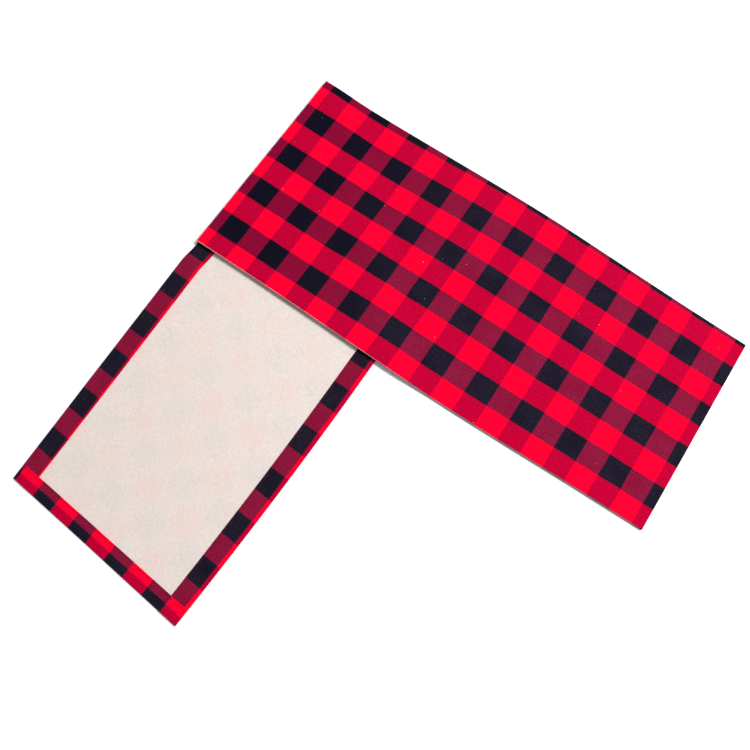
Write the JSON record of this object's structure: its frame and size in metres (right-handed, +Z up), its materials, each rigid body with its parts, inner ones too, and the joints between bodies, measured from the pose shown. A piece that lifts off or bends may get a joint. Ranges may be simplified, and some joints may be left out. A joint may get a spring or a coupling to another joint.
{
  "type": "table runner",
  "caption": "Hemmed runner of printed check cotton, folded in thirds and turned on a diagonal so it lies as an L with face and back showing.",
  "frame": {"origin": "middle of the box round the folded runner's footprint, on the table", "axes": "+Z up from the table; +X along the upper arm, from the end where the lower arm leaves it towards its free folded end; the lower arm runs along -Y"},
  "size_m": [0.762, 0.762, 0.0073],
  "materials": {
    "printed_cotton": "plain-weave cotton printed with a red and black check on one side, undyed cream on the other",
    "hem_cotton": "the same printed cotton, turned to the back as a hem",
    "thread": "dark red spun polyester sewing thread"
  },
  "bodies": {
    "lower_arm": {"lower_leaf": "printed_cotton", "lower_left_hem": "hem_cotton", "lower_right_hem": "hem_cotton", "lower_end_hem": "hem_cotton", "lower_left_stitching": "thread", "lower_right_stitching": "thread", "lower_end_stitching": "thread", "corner_fold": "printed_cotton", "turned_leaf": "printed_cotton", "turned_near_hem": "hem_cotton", "turned_far_hem": "hem_cotton", "turned_near_stitching": "thread", "turned_far_stitching": "thread", "left_fold": "printed_cotton"},
    "under_arm": {"second_leaf": "printed_cotton", "second_near_hem": "hem_cotton", "second_far_hem": "hem_cotton", "second_near_stitching": "thread", "second_far_stitching": "thread", "right_fold": "printed_cotton"},
    "upper_arm": {"top_leaf": "printed_cotton", "top_near_hem": "hem_cotton", "top_far_hem": "hem_cotton", "top_end_hem": "hem_cotton", "top_near_stitching": "thread", "top_far_stitching": "thread", "top_end_stitching": "thread"}
  },
  "joints": [
    {"name": "left_crease", "type": "hinge", "parent": "lower_arm", "child": "under_arm", "pos_m": [-0.37927, 0.216, 0.00365], "axis": [0, -1, 0], "range_deg": [0, 180]},
    {"name": "right_crease", "type": "hinge", "parent": "under_arm", "child": "upper_arm", "pos_m": [0.37927, 0.216, 0.00175], "axis": [0, 1, 0], "range_deg": [0, 179.4]}
  ]
}
